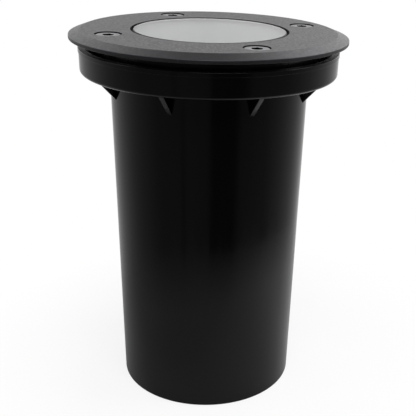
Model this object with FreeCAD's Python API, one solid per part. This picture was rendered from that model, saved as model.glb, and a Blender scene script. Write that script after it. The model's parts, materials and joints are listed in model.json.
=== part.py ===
import FreeCAD, Part
import math
import os

# Round in-ground spotlight in its plastic mounting sleeve, in millimetres, +Z up.
# The origin is the centre of the sleeve's foot. The sleeve is set in the ground up to its
# collar, the sealed lamp housing stands on the shelf inside the collar, and four screws
# clamp the bezel ring and the stepped walk-over glass on the housing. The radii follow each
# other outwards from the glass: its pocket, the screws, the flange, the collar, the tube.

# Mounting sleeve
sleeve_height = 144.4
tube_taper = 2.9
tube_wall = 2.2
foot_rounding = 0.6
floor_thickness = 2.5
collar_height = 9.9
collar_projection = 11.55
collar_draft = 0.15
collar_wall = 2.3
collar_foot_rounding = 0.9
shelf_thickness = 2.5
bead_height = 1.7
bead_width = 0.25
rim_rounding = 0.3
web_count = 8
web_thickness = 2.0
web_drop = 8.8
web_inset = 3.65
web_rounding = 0.3
cable_hole_radius = 16.0
drain_count = 6
drain_radius = 3.0
drain_inset = 10.8
notch_width = 20.0
notch_height = 24.0
notch_floor_reach = 4.1

# Lamp housing: tapered can, with a base welded on its foot and a cored flange on its top
flange_side_gap = 2.75
flange_height = 10.6
flange_deck = 2.4
flange_wall = 2.2
pocket_wall = 1.9
can_wall = 2.2
can_depth = 97.0
can_floor = 2.5
can_top_clearance = 0.8
can_foot_clearance = 1.5
base_rounding_share = 0.8
ledge_thickness = 2.0
ledge_width = 2.2
boss_radius = 4.3
boss_wall_gap = 0.4
boss_pocket_gap = 0.8
flange_web_count = 16
flange_web_thickness = 1.6
post_radius = 4.0
post_inset = 10.8
post_web_thickness = 2.2
post_web_clearance = 0.3
pad_length = 30.0
pad_width = 9.0
pad_height = 7.0
pilot_radius = 1.2
pilot_depth = 9.0

# Bezel ring
bezel_overhang = 3.6
bezel_edge_thickness = 1.4
bevel_drop = 1.95
bevel_width = 4.5
bevel_rounding = 0.8
bezel_edge_rounding = 0.35
opening_clearance = 1.3
opening_rounding = 0.3

# Bezel screws, with low heads and hexagon sockets, in threaded inserts
screw_count = 4
head_radius = 4.7
head_height = 1.85
head_rounding = 0.35
head_sink = 0.55
recess_clearance = 0.6
shank_radius = 2.4
shank_length = 10.0
shank_clearance = 0.3
socket_across_flats = 4.0
socket_depth = 1.4
socket_chamfer = 0.2
insert_radius = 3.2
insert_length = 8.0
insert_sink = 0.4
insert_groove_depth = 0.4
insert_groove_height = 1.5
thread_clearance = 0.06
screw_tip_room = 0.8

# Glass, gaskets and diffuser
glass_radius = 30.9
glass_step = 5.0
glass_flange_thickness = 5.2
glass_sink = 0.15
glass_chamfer = 0.6
glass_pocket_clearance = 0.5
upper_gasket_thickness = 1.6
lower_gasket_thickness = 1.6
gasket_glass_clearance = 0.25
gasket_wall_clearance = 0.15
gasket_lip_sink = 0.9
gasket_width = 5.0
diffuser_inset = 0.7
diffuser_thickness = 2.0
diffuser_clearance = 0.3

# Twist-lock reflector lamp
lamp_rim_radius = 24.9
lamp_rim_height = 5.5
lamp_length = 47.0
lamp_headroom = 3.0
lamp_neck_radius = 14.2
lamp_core_foot_radius = 11.0
lamp_core_top_radius = 20.0
lamp_base_height = 10.0
lamp_base_foot_radius = 11.6
lamp_base_rounding = 1.0
fin_count = 24
fin_thickness = 1.3
lamp_lens_radius = 22.4
lamp_lens_thickness = 3.0
lamp_lens_sink = 0.5
lamp_lens_dish = 1.0
pin_spacing = 10.0
pin_neck_radius = 1.5
pin_neck_length = 3.6
pin_head_radius = 2.5
pin_head_length = 3.4
pin_rounding = 0.4

# Lampholder on its strap
holder_length = 28.0
holder_width = 18.0
holder_height = 14.0
holder_rounding = 0.8
holder_lip = 2.8
holder_clearance = 0.25
seat_clearance = 0.3
lock_angle = 25.0
cavity_depth = 4.6
strap_thickness = 1.2
strap_width = 14.0
strap_end_margin = 4.0
holder_screw_spacing = 20.0
small_screw_radius = 1.5
small_screw_clearance = 0.15
small_head_radius = 2.75
small_head_height = 2.0
small_slot_width = 0.8
small_slot_depth = 0.9
holder_screw_sink = 6.0
holder_screw_reach = 2.0

# Terminal block
terminal_count = 3
terminal_pitch = 8.6
terminal_length = 17.0
terminal_height = 13.0
terminal_end_wall = 0.9
terminal_inset = 19.8
terminal_rounding = 1.2
terminal_tube_radius = 2.6
terminal_bore_radius = 1.7
terminal_tube_length = 15.0
terminal_tube_height = 5.4
terminal_screw_spacing = 7.6
terminal_screw_radius = 1.35
terminal_well_radius = 1.9
terminal_screw_length = 4.6

# Cable gland
gland_thread_radius = 7.9
gland_thread_clearance = 0.1
gland_washer_radius = 10.8
gland_washer_thickness = 1.5
gland_hex = 20.0
gland_hex_height = 5.0
gland_spigot_radius = 8.4
gland_spigot_length = 9.0
gland_bore_radius = 5.6
gland_seal_socket_radius = 6.7
gland_seal_radius = 6.5
gland_cable_radius = 4.0
gland_seal_length = 9.5
gland_seal_taper = 1.4
gland_nut_height = 14.0
gland_nut_gap = 0.6
gland_nut_mouth_radius = 4.9
gland_nut_dome = 3.5
gland_nut_clearance = 0.06
gland_seal_gap = 0.35
gland_thread_excess = 1.0
locknut_hex = 22.0
locknut_height = 5.0
hex_chamfer = 0.5

# One overrun serves all cuts
overrun = 1.0

# Levels, from the sleeve's foot up
collar_foot_z = sleeve_height - collar_height
shelf_z = collar_foot_z + shelf_thickness
bead_foot_z = sleeve_height - bead_height
flange_top_z = shelf_z + flange_height
bezel_edge_z = flange_top_z + bezel_edge_thickness
bezel_top_z = bezel_edge_z + bevel_drop
recess_floor_z = bezel_top_z - head_sink - head_height
glass_top_z = bezel_top_z - glass_sink
shoulder_z = flange_top_z - upper_gasket_thickness
glass_foot_z = shoulder_z - glass_flange_thickness
pocket_floor_z = glass_foot_z - lower_gasket_thickness
diffuser_foot_z = shelf_z
ledge_foot_z = diffuser_foot_z - ledge_thickness
can_foot_z = shelf_z - can_depth
can_floor_z = can_foot_z + can_floor
lamp_face_z = diffuser_foot_z - lamp_headroom
lamp_rim_z = lamp_face_z - lamp_rim_height
lamp_foot_z = lamp_face_z - lamp_length
lamp_base_z = lamp_foot_z + lamp_base_height
holder_top_z = lamp_foot_z - seat_clearance
holder_foot_z = holder_top_z - holder_height
strap_foot_z = holder_foot_z - strap_thickness
gland_hex_z = can_foot_z - gland_washer_thickness
gland_spigot_z = gland_hex_z - gland_hex_height
gland_nut_top_z = gland_spigot_z - gland_nut_gap
gland_nut_foot_z = gland_nut_top_z - gland_nut_height
terminal_foot_z = can_floor_z + pad_height

# Radii, from the glass outwards
glass_flange_radius = glass_radius + glass_step
pocket_radius = glass_flange_radius + glass_pocket_clearance
opening_radius = glass_radius + opening_clearance
screw_circle_radius = pocket_radius + boss_pocket_gap + boss_radius
flange_radius = screw_circle_radius + boss_radius + boss_wall_gap
collar_bore_radius = flange_radius + flange_side_gap
collar_foot_radius = collar_bore_radius + collar_wall
collar_rim_radius = collar_foot_radius + collar_draft
bezel_radius = collar_rim_radius + bezel_overhang
tube_top_radius = collar_foot_radius - collar_projection
tube_foot_radius = tube_top_radius - tube_taper
drain_circle_radius = tube_foot_radius - drain_inset
post_circle_radius = tube_foot_radius - post_inset
diffuser_radius = glass_radius - diffuser_inset
terminal_offset = tube_foot_radius - terminal_inset
ledge_radius = diffuser_radius - ledge_width
diffuser_pocket_radius = diffuser_radius + diffuser_clearance
recess_radius = head_radius + recess_clearance
bevel_radius = bezel_radius - bevel_width
notch_depth = tube_wall + notch_floor_reach

FULL_TURN = 360.0
QUARTER_TURN = FULL_TURN / 4
ORIGIN = FreeCAD.Vector(0, 0, 0)
UP = FreeCAD.Vector(0, 0, 1)
ACROSS = FreeCAD.Vector(0, 1, 0)


def tube_radius(z):
    """Outer radius of the tapered sleeve tube at a height."""
    return tube_foot_radius + (tube_top_radius - tube_foot_radius) * z / collar_foot_z


def bore_radius(z):
    """Inner radius of the sleeve tube at a height."""
    return tube_radius(z) - tube_wall


def outline(corners):
    """Closed face in the XZ plane through (x, z) or (x, z, rounding) corners."""
    starts = []
    middles = []
    ends = []
    for index, corner in enumerate(corners):
        here = FreeCAD.Vector(corner[0], 0, corner[1])
        before = corners[index - 1]
        after = corners[(index + 1) % len(corners)]
        back = (FreeCAD.Vector(before[0], 0, before[1]) - here).normalize()
        ahead = (FreeCAD.Vector(after[0], 0, after[1]) - here).normalize()
        if len(corner) < 3:
            starts.append(here)
            middles.append(None)
            ends.append(here)
            continue
        rounding = corner[2]
        half = back.getAngle(ahead) / 2
        reach = rounding / math.tan(half)
        inward = (back + ahead).normalize()
        centre = here + inward * (rounding / math.sin(half))
        starts.append(here + back * reach)
        middles.append(centre - inward * rounding)
        ends.append(here + ahead * reach)
    edges = []
    for index in range(len(corners)):
        if middles[index] is not None:
            edges.append(Part.Arc(starts[index], middles[index], ends[index]).toShape())
        following = (index + 1) % len(corners)
        edges.append(Part.LineSegment(ends[index], starts[following]).toShape())
    return Part.Face(Part.Wire(edges))


def turned(corners):
    """Solid of revolution about the Z axis from (radius, z) corners."""
    return outline(corners).revolve(ORIGIN, UP, FULL_TURN)


def plate_in_xz(corners, thickness):
    """Plate standing in the XZ plane, centred on it."""
    plate = outline(corners).extrude(ACROSS * thickness)
    return shifted(plate, 0, -thickness / 2, 0)


def shifted(shape, x, y, z):
    copy = shape.copy()
    copy.translate(FreeCAD.Vector(x, y, z))
    return copy


def rotated(shape, angle):
    copy = shape.copy()
    copy.rotate(ORIGIN, UP, angle)
    return copy


def ring_of(shape, count, first=0):
    """Copies of a shape at even steps round the Z axis."""
    return [rotated(shape, first + FULL_TURN * step / count) for step in range(count)]


def rod(radius, foot_z, top_z, x=0, y=0):
    return Part.makeCylinder(radius, top_z - foot_z, FreeCAD.Vector(x, y, foot_z))


def block(length, width, foot_z, top_z, x=0, y=0):
    """Box centred on x and y."""
    corner = FreeCAD.Vector(x - length / 2, y - width / 2, foot_z)
    return Part.makeBox(length, width, top_z - foot_z, corner)


def hexagon(across_flats, foot_z, top_z):
    """Hexagonal prism about the Z axis."""
    radius = across_flats / math.sqrt(3)
    points = []
    for side in range(7):
        angle = math.pi * side / 3
        points.append(FreeCAD.Vector(radius * math.cos(angle), radius * math.sin(angle), foot_z))
    return Part.Face(Part.makePolygon(points)).extrude(UP * (top_z - foot_z))


def nut_blank(across_flats, foot_z, top_z):
    """Hexagonal prism whose corners are turned off at both ends."""
    corner = across_flats / math.sqrt(3)
    trim = corner - across_flats / 2
    keep = turned([
        (0, foot_z),
        (corner - trim, foot_z),
        (corner, foot_z + hex_chamfer),
        (corner, top_z - hex_chamfer),
        (corner - trim, top_z),
        (0, top_z),
    ])
    return hexagon(across_flats, foot_z, top_z).common(keep)


def joined(base, extras):
    return base.fuse(extras).removeSplitter()


def save(name, shapes):
    """Write one node, made of one solid or of several separate ones."""
    solids = []
    for shape in shapes:
        solids.extend(shape.Solids)
    for solid in solids:
        if not solid.isValid():
            raise ValueError("invalid solid in " + name)
    result = solids[0] if len(solids) == 1 else Part.makeCompound(solids)
    result.exportStep(os.path.join("parts", name + ".step"))
    volume = sum(solid.Volume for solid in solids)
    print(name, "solids", len(solids), "volume", round(volume, 1))


def collar_web():
    """Triangular web that braces the collar against the tube."""
    foot_z = collar_foot_z - web_drop
    root_radius = tube_radius(foot_z) - tube_wall / 2
    reach_radius = collar_foot_radius - web_inset
    top_z = collar_foot_z + shelf_thickness / 2
    web = plate_in_xz([
        (root_radius, foot_z),
        (tube_radius(foot_z), foot_z),
        (reach_radius, collar_foot_z),
        (reach_radius - collar_wall / 2, top_z),
        (root_radius, top_z),
    ], web_thickness)
    sloped = []
    for edge in web.Edges:
        low = edge.BoundBox.ZMin
        high = edge.BoundBox.ZMax
        outer = edge.BoundBox.XMax
        spans = abs(low - foot_z) < web_rounding and abs(high - collar_foot_z) < web_rounding
        if spans and abs(outer - reach_radius) < web_rounding:
            sloped.append(edge)
    return web.makeFillet(web_rounding, sloped)


def cable_notch():
    """Arched gap in the foot of the tube where the supply cable comes in."""
    half = notch_width / 2
    inner_y = tube_foot_radius - notch_depth
    reach = notch_depth + overrun + tube_top_radius - tube_foot_radius
    arch = Part.makeCylinder(half, reach, FreeCAD.Vector(0, inner_y, notch_height - half), ACROSS)
    corner = FreeCAD.Vector(-half, inner_y, -overrun)
    gap = Part.makeBox(notch_width, reach, notch_height - half + overrun, corner)
    return arch.fuse(gap)


def mounting_sleeve():
    shell = turned([
        (cable_hole_radius, 0),
        (tube_foot_radius, 0, foot_rounding),
        (tube_top_radius, collar_foot_z, rim_rounding),
        (collar_foot_radius, collar_foot_z, collar_foot_rounding),
        (collar_rim_radius, bead_foot_z),
        (collar_rim_radius + bead_width, bead_foot_z, rim_rounding / 2),
        (collar_rim_radius + bead_width, sleeve_height, rim_rounding),
        (collar_rim_radius - collar_wall, sleeve_height, rim_rounding),
        (collar_bore_radius, shelf_z, rim_rounding),
        (bore_radius(collar_foot_z), shelf_z, rim_rounding),
        (bore_radius(floor_thickness), floor_thickness, foot_rounding),
        (cable_hole_radius, floor_thickness),
    ])
    body = joined(shell, ring_of(collar_web(), web_count))
    drain = rod(drain_radius, -overrun, floor_thickness + overrun, drain_circle_radius)
    return body.cut(ring_of(drain, drain_count) + [cable_notch()])


def flange_web():
    """Radial web under the deck, between the pocket wall and the flange's outer wall."""
    inner = pocket_radius + pocket_wall / 2
    outer = flange_radius - flange_wall / 2
    return plate_in_xz([
        (inner, shelf_z),
        (outer, shelf_z),
        (outer, flange_top_z - flange_deck / 2),
        (inner, flange_top_z - flange_deck / 2),
    ], flange_web_thickness)


def can_foot_radius():
    return bore_radius(can_foot_z) - can_foot_clearance


def lamp_housing():
    """Tapered can round the lamp, with a ledge at its top where the diffuser lies."""
    can_top_radius = bore_radius(collar_foot_z) - can_top_clearance
    return turned([
        (can_foot_radius() - can_wall, can_floor_z),
        (can_foot_radius(), can_floor_z),
        (can_top_radius, shelf_z),
        (ledge_radius, shelf_z),
        (ledge_radius, ledge_foot_z),
        (can_top_radius - can_wall, ledge_foot_z - ledge_thickness),
    ])


def strap_post():
    """Post for one end of the lampholder's strap, with a web towards the can's wall."""
    root_z = can_floor_z - can_floor / 2
    web_reach = can_foot_radius() - can_wall - post_web_clearance
    post = rod(post_radius, root_z, strap_foot_z, post_circle_radius)
    web = plate_in_xz([
        (post_circle_radius, root_z),
        (web_reach, root_z),
        (web_reach, strap_foot_z),
        (post_circle_radius, strap_foot_z),
    ], post_web_thickness)
    return post.fuse(web)


def housing_base():
    """Floor of the can: gland hole, strap posts and the terminal block's pad."""
    floor = turned([
        (gland_thread_radius + gland_thread_clearance, can_foot_z),
        (can_foot_radius(), can_foot_z, can_floor * base_rounding_share),
        (can_foot_radius(), can_floor_z),
        (gland_thread_radius + gland_thread_clearance, can_floor_z),
    ])
    posts = ring_of(strap_post(), 2)
    pad = block(pad_length, pad_width, can_floor_z - can_floor / 2, terminal_foot_z, 0, terminal_offset)
    body = joined(floor, posts + [pad])
    pilots = []
    for side in (-1, 1):
        pilots.append(rod(pilot_radius, strap_foot_z - pilot_depth, strap_foot_z + overrun,
                          side * post_circle_radius))
    pilots.append(rod(pilot_radius, can_floor_z, terminal_foot_z + overrun,
                      terminal_pitch / 2, terminal_offset))
    return body.cut(pilots)


def housing_flange():
    """Flange bonded on the can: glass pocket, deck, outer wall, webs and screw bosses."""
    flange_bore = flange_radius - flange_wall
    deck_foot_z = flange_top_z - flange_deck
    pocket_outer = pocket_radius + pocket_wall
    body = turned([
        (diffuser_pocket_radius, shelf_z),
        (pocket_outer, shelf_z),
        (pocket_outer, deck_foot_z),
        (flange_bore, deck_foot_z),
        (flange_bore, shelf_z),
        (flange_radius, shelf_z),
        (flange_radius, flange_top_z, rim_rounding),
        (pocket_radius, flange_top_z, rim_rounding),
        (pocket_radius, pocket_floor_z),
        (diffuser_pocket_radius, pocket_floor_z),
    ])
    boss = rod(boss_radius, shelf_z, flange_top_z - flange_deck / 2, screw_circle_radius)
    body = joined(body, ring_of(boss, screw_count) + ring_of(flange_web(), flange_web_count))
    insert_foot_z = flange_top_z - insert_sink - insert_length
    insert_hole = rod(insert_radius, insert_foot_z, flange_top_z + overrun, screw_circle_radius)
    tip_foot_z = shank_tip_z() - screw_tip_room
    tip_room = rod(shank_radius + shank_clearance, tip_foot_z, flange_top_z, screw_circle_radius)
    return body.cut(ring_of(insert_hole, screw_count) + ring_of(tip_room, screw_count))


def shank_tip_z():
    return recess_floor_z - shank_length


def thread_inserts():
    """Brass inserts pressed into the four flange bosses."""
    top_z = flange_top_z - insert_sink
    foot_z = top_z - insert_length
    groove_radius = insert_radius - insert_groove_depth
    groove_foot_z = top_z - (insert_length + insert_groove_height) / 2
    groove_top_z = groove_foot_z + insert_groove_height
    bore = shank_radius + thread_clearance
    blank = turned([
        (bore, foot_z),
        (insert_radius, foot_z),
        (insert_radius, groove_foot_z),
        (groove_radius, groove_foot_z),
        (groove_radius, groove_top_z),
        (insert_radius, groove_top_z),
        (insert_radius, top_z),
        (bore, top_z),
    ])
    return ring_of(shifted(blank, screw_circle_radius, 0, 0), screw_count)


def bezel_ring():
    ring = turned([
        (opening_radius, flange_top_z, opening_rounding),
        (bezel_radius, flange_top_z, bezel_edge_rounding),
        (bezel_radius, bezel_edge_z, bezel_edge_rounding),
        (bevel_radius, bezel_top_z, bevel_rounding),
        (opening_radius, bezel_top_z, opening_rounding),
    ])
    recess = rod(recess_radius, recess_floor_z, bezel_top_z + overrun, screw_circle_radius)
    hole = rod(shank_radius + shank_clearance, flange_top_z - overrun, bezel_top_z, screw_circle_radius)
    return ring.cut(ring_of(recess.fuse(hole), screw_count))


def bezel_screw():
    """Low-head socket screw on the Z axis, its socket open at the top and chamfered."""
    top_z = recess_floor_z + head_height
    screw = turned([
        (0, shank_tip_z()),
        (shank_radius - head_rounding, shank_tip_z()),
        (shank_radius, shank_tip_z() + head_rounding),
        (shank_radius, recess_floor_z),
        (head_radius, recess_floor_z),
        (head_radius, top_z, head_rounding),
        (0, top_z),
    ])
    socket = hexagon(socket_across_flats, top_z - socket_depth, top_z + overrun)
    corner = socket_across_flats / math.sqrt(3)
    mouth = turned([
        (0, top_z - socket_chamfer),
        (socket_across_flats / 2, top_z - socket_chamfer),
        (corner, top_z),
        (corner, top_z + overrun),
        (0, top_z + overrun),
    ])
    return screw.cut([socket, mouth])


def bezel_gasket():
    """Black L-section gasket: a flat under the bezel and a lip round the raised glass."""
    lip_inner = glass_radius + gasket_glass_clearance
    lip_outer = opening_radius - gasket_wall_clearance
    flat_outer = lip_inner + gasket_width - gasket_wall_clearance
    lip_top_z = bezel_top_z - gasket_lip_sink
    return turned([
        (lip_inner, shoulder_z),
        (flat_outer, shoulder_z),
        (flat_outer, flange_top_z),
        (lip_outer, flange_top_z),
        (lip_outer, lip_top_z),
        (lip_inner, lip_top_z),
    ])


def glass_gasket():
    """Flat gasket under the glass, on the floor of the pocket."""
    outer = glass_flange_radius + gasket_wall_clearance
    return turned([
        (outer - gasket_width, pocket_floor_z),
        (outer, pocket_floor_z),
        (outer, glass_foot_z),
        (outer - gasket_width, glass_foot_z),
    ])


def glass_lens():
    """Stepped glass disc, flush with the bezel, with ground edges."""
    return turned([
        (0, glass_foot_z),
        (glass_flange_radius - glass_chamfer, glass_foot_z),
        (glass_flange_radius, glass_foot_z + glass_chamfer),
        (glass_flange_radius, shoulder_z - glass_chamfer),
        (glass_flange_radius - glass_chamfer, shoulder_z),
        (glass_radius, shoulder_z),
        (glass_radius, glass_top_z - glass_chamfer),
        (glass_radius - glass_chamfer, glass_top_z),
        (0, glass_top_z),
    ])


def frosted_diffuser():
    return rod(diffuser_radius, diffuser_foot_z, diffuser_foot_z + diffuser_thickness)


def lamp_fin():
    """Cooling fin whose outer edge flares from the lamp's neck to its rim."""
    return plate_in_xz([
        (lamp_core_foot_radius - fin_thickness, lamp_base_z),
        (lamp_neck_radius, lamp_base_z),
        (lamp_rim_radius - fin_thickness, lamp_rim_z + fin_thickness),
        (lamp_core_foot_radius - fin_thickness, lamp_rim_z + fin_thickness),
    ], fin_thickness)


def lamp_body():
    lens_seat_z = lamp_face_z - lamp_lens_sink - lamp_lens_thickness
    core = turned([
        (0, lamp_base_z),
        (lamp_core_foot_radius, lamp_base_z),
        (lamp_core_top_radius, lamp_rim_z),
        (lamp_rim_radius, lamp_rim_z, pin_rounding),
        (lamp_rim_radius, lamp_face_z, pin_rounding),
        (lamp_lens_radius, lamp_face_z),
        (lamp_lens_radius, lens_seat_z),
        (0, lens_seat_z),
    ])
    return joined(core, ring_of(lamp_fin(), fin_count))


def lamp_lens():
    seat_z = lamp_face_z - lamp_lens_sink - lamp_lens_thickness
    top_z = lamp_face_z - lamp_lens_sink
    return turned([
        (0, seat_z),
        (lamp_lens_radius, seat_z),
        (lamp_lens_radius, top_z),
        (lamp_lens_radius - lamp_lens_thickness, top_z),
        (0, top_z - lamp_lens_dish),
    ])


def lamp_base():
    return turned([
        (0, lamp_foot_z),
        (lamp_base_foot_radius, lamp_foot_z, lamp_base_rounding),
        (lamp_neck_radius, lamp_base_z),
        (0, lamp_base_z),
    ])


def lamp_pins():
    """Two headed contact pins, each a neck and a wider head."""
    neck_z = lamp_foot_z - pin_neck_length
    foot_z = neck_z - pin_head_length
    pin = turned([
        (0, foot_z),
        (pin_head_radius, foot_z, pin_rounding),
        (pin_head_radius, neck_z),
        (pin_neck_radius, neck_z),
        (pin_neck_radius, lamp_foot_z),
        (0, lamp_foot_z),
    ])
    return ring_of(rotated(shifted(pin, pin_spacing / 2, 0, 0), QUARTER_TURN), 2)


def pin_path(radius, foot_z, top_z):
    """Space that a round pin sweeps as the lamp turns from entry to lock."""
    pin_radius = pin_spacing / 2
    band = turned([
        (pin_radius - radius, foot_z),
        (pin_radius + radius, foot_z),
        (pin_radius + radius, top_z),
        (pin_radius - radius, top_z),
    ])
    far = pin_radius + radius + overrun
    half = math.radians(lock_angle / 2)
    corners = [
        FreeCAD.Vector(0, 0, foot_z - overrun),
        FreeCAD.Vector(far * math.cos(half), -far * math.sin(half), foot_z - overrun),
        FreeCAD.Vector(far * math.cos(half), far * math.sin(half), foot_z - overrun),
        FreeCAD.Vector(0, 0, foot_z - overrun),
    ]
    wedge = Part.Face(Part.makePolygon(corners)).extrude(UP * (top_z - foot_z + 2 * overrun))
    sector = band.common(rotated(wedge, lock_angle / 2))
    start = rod(radius, foot_z, top_z, pin_radius)
    return sector.fuse([start, rotated(start, lock_angle)])


def holder_blank(foot_z, top_z):
    """Block with round ends, the outline of the lampholder."""
    half = (holder_length - holder_width) / 2
    body = block(2 * half, holder_width, foot_z, top_z)
    ends = [rod(holder_width / 2, foot_z, top_z, side * half) for side in (-1, 1)]
    return joined(body, ends)


def holder_wells():
    """Stepped holes for the two screws that hold the lampholder on its strap."""
    wells = []
    for side in (-1, 1):
        x = side * holder_screw_spacing / 2
        head_z = holder_top_z - holder_screw_sink
        wells.append(rod(small_head_radius + small_screw_clearance, head_z, holder_top_z + overrun, x))
        wells.append(rod(small_screw_radius + small_screw_clearance, holder_foot_z - overrun, head_z, x))
    return wells


def lampholder():
    """Insulating base with a cavity for each pin's head."""
    lip_z = holder_top_z - holder_lip
    cavity = pin_path(pin_head_radius + holder_clearance, lip_z - cavity_depth, lip_z + overrun)
    cuts = ring_of(rotated(cavity, QUARTER_TURN), 2) + holder_wells()
    return holder_blank(holder_foot_z, lip_z).cut(cuts)


def lampholder_cap():
    """Cover of the lampholder, with two keyhole slots that lock the lamp by a twist."""
    lip_z = holder_top_z - holder_lip
    body = holder_blank(lip_z, holder_top_z)
    rim = [edge for edge in body.Edges if edge.BoundBox.ZMin > holder_top_z - holder_rounding]
    body = body.makeFillet(holder_rounding, rim)
    keyhole = pin_path(pin_neck_radius + holder_clearance, lip_z - overrun, holder_top_z + overrun)
    entry = rotated(rod(pin_head_radius + holder_clearance, lip_z - overrun, holder_top_z + overrun,
                        pin_spacing / 2), lock_angle)
    return body.cut(ring_of(rotated(keyhole.fuse(entry), QUARTER_TURN), 2) + holder_wells())


def holder_strap():
    """Flat steel strap across the can, under the lampholder."""
    half = post_circle_radius + strap_end_margin - strap_width / 2
    strap = block(2 * half, strap_width, strap_foot_z, holder_foot_z)
    ends = [rod(strap_width / 2, strap_foot_z, holder_foot_z, side * half) for side in (-1, 1)]
    strap = joined(strap, ends)
    holes = []
    for side in (-1, 1):
        for x in (side * post_circle_radius, side * holder_screw_spacing / 2):
            holes.append(rod(small_screw_radius, strap_foot_z - overrun, holder_foot_z + overrun, x))
    return strap.cut(holes)


def small_screw(head_foot_z, tip_z, shank, x=0, y=0):
    """Slotted pan-head screw at a place, its head standing on head_foot_z."""
    top_z = head_foot_z + small_head_height
    screw = turned([
        (0, tip_z),
        (shank, tip_z),
        (shank, head_foot_z),
        (small_head_radius, head_foot_z),
        (small_head_radius, top_z, pin_rounding),
        (0, top_z),
    ])
    slot = block(4 * small_head_radius, small_slot_width, top_z - small_slot_depth, top_z + overrun)
    return shifted(screw.cut(slot), x, y, 0)


def holder_screws():
    head_z = holder_top_z - holder_screw_sink
    tip_z = strap_foot_z - holder_screw_reach
    places = [side * holder_screw_spacing / 2 for side in (-1, 1)]
    return [small_screw(head_z, tip_z, small_screw_radius, x) for x in places]


def strap_screws():
    tip_z = strap_foot_z - pilot_depth + overrun
    places = [side * post_circle_radius for side in (-1, 1)]
    return [small_screw(holder_foot_z, tip_z, pilot_radius, x) for x in places]


def terminal_places():
    """Centres of the terminal block's poles along X."""
    middle = (terminal_count - 1) / 2
    return [terminal_pitch * (step - middle) for step in range(terminal_count)]


def terminal_block():
    """Insulating block with a wire bore and two screw wells for each pole."""
    length = terminal_count * terminal_pitch + 2 * terminal_end_wall
    top_z = terminal_foot_z + terminal_height
    tube_z = terminal_foot_z + terminal_tube_height
    body = block(length, terminal_length, terminal_foot_z, top_z, 0, terminal_offset)
    uprights = [edge for edge in body.Edges if edge.BoundBox.ZLength > terminal_rounding]
    body = body.makeFillet(terminal_rounding, uprights)
    cuts = []
    for x in terminal_places():
        start = FreeCAD.Vector(x, terminal_offset - terminal_length / 2 - overrun, tube_z)
        cuts.append(Part.makeCylinder(terminal_tube_radius, terminal_length + 2 * overrun, start, ACROSS))
        for side in (-1, 1):
            y = terminal_offset + side * terminal_screw_spacing / 2
            cuts.append(rod(terminal_well_radius, tube_z, top_z + overrun, x, y))
    middle_x = terminal_pitch / 2
    foot_z = terminal_foot_z - overrun
    cuts.append(rod(small_screw_radius, foot_z, top_z + overrun, middle_x, terminal_offset))
    return body.cut(cuts)


def terminal_tubes():
    """Brass tubes in the terminal block, one for each pole."""
    tube_z = terminal_foot_z + terminal_tube_height
    start_y = terminal_offset - terminal_tube_length / 2
    tubes = []
    for x in terminal_places():
        start = FreeCAD.Vector(x, start_y, tube_z)
        tube = Part.makeCylinder(terminal_tube_radius, terminal_tube_length, start, ACROSS)
        bore = Part.makeCylinder(terminal_bore_radius, terminal_tube_length, start, ACROSS)
        holes = [bore]
        for side in (-1, 1):
            y = terminal_offset + side * terminal_screw_spacing / 2
            holes.append(rod(terminal_screw_radius, tube_z, tube_z + terminal_tube_radius, x, y))
        tubes.append(tube.cut(holes))
    return tubes


def terminal_screws():
    """Slotted clamp screws, two for each pole."""
    foot_z = terminal_foot_z + terminal_tube_height + terminal_bore_radius / 2
    top_z = foot_z + terminal_screw_length
    screws = []
    for x in terminal_places():
        for side in (-1, 1):
            y = terminal_offset + side * terminal_screw_spacing / 2
            shank = rod(terminal_screw_radius, foot_z, top_z, x, y)
            slot = block(4 * terminal_screw_radius, small_slot_width, top_z - small_slot_depth,
                         top_z + overrun, x, y)
            screws.append(shank.cut(slot))
    return screws


def terminal_mount_screw():
    """Screw that holds the terminal block down on its pad."""
    head_foot_z = terminal_foot_z + terminal_height
    tip_z = terminal_foot_z - pad_height + overrun
    return small_screw(head_foot_z, tip_z, pilot_radius, terminal_pitch / 2, terminal_offset)


def gland_body():
    thread_top_z = can_floor_z + locknut_height + gland_thread_excess
    foot_z = gland_spigot_z - gland_spigot_length
    socket_top_z = foot_z + gland_seal_length
    barrel = turned([
        (gland_seal_socket_radius, foot_z),
        (gland_spigot_radius, foot_z),
        (gland_spigot_radius, gland_spigot_z),
        (gland_hex / 2, gland_spigot_z),
        (gland_hex / 2, gland_hex_z),
        (gland_thread_radius, gland_hex_z),
        (gland_thread_radius, thread_top_z),
        (gland_bore_radius, thread_top_z),
        (gland_bore_radius, socket_top_z),
        (gland_seal_socket_radius, socket_top_z),
    ])
    grip = nut_blank(gland_hex, gland_spigot_z, gland_hex_z)
    grip = grip.cut(rod(gland_spigot_radius, gland_spigot_z - overrun, gland_hex_z + overrun))
    return joined(barrel, [grip])


def gland_washer():
    return turned([
        (gland_thread_radius + gland_thread_clearance, gland_hex_z),
        (gland_washer_radius, gland_hex_z),
        (gland_washer_radius, can_foot_z),
        (gland_thread_radius + gland_thread_clearance, can_foot_z),
    ])


def gland_locknut():
    top_z = can_floor_z + locknut_height
    nut = nut_blank(locknut_hex, can_floor_z, top_z)
    return nut.cut(rod(gland_thread_radius + gland_thread_clearance, can_floor_z - overrun, top_z + overrun))


def gland_seal():
    """Rubber sleeve that grips the cable, tapered where the dome nut squeezes it."""
    socket_top_z = gland_spigot_z - gland_spigot_length + gland_seal_length
    foot_z = gland_nut_foot_z + gland_nut_dome
    return turned([
        (gland_cable_radius, foot_z),
        (gland_seal_radius - gland_seal_taper, foot_z),
        (gland_seal_radius, foot_z + gland_seal_taper),
        (gland_seal_radius, socket_top_z),
        (gland_cable_radius, socket_top_z),
    ])


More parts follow.
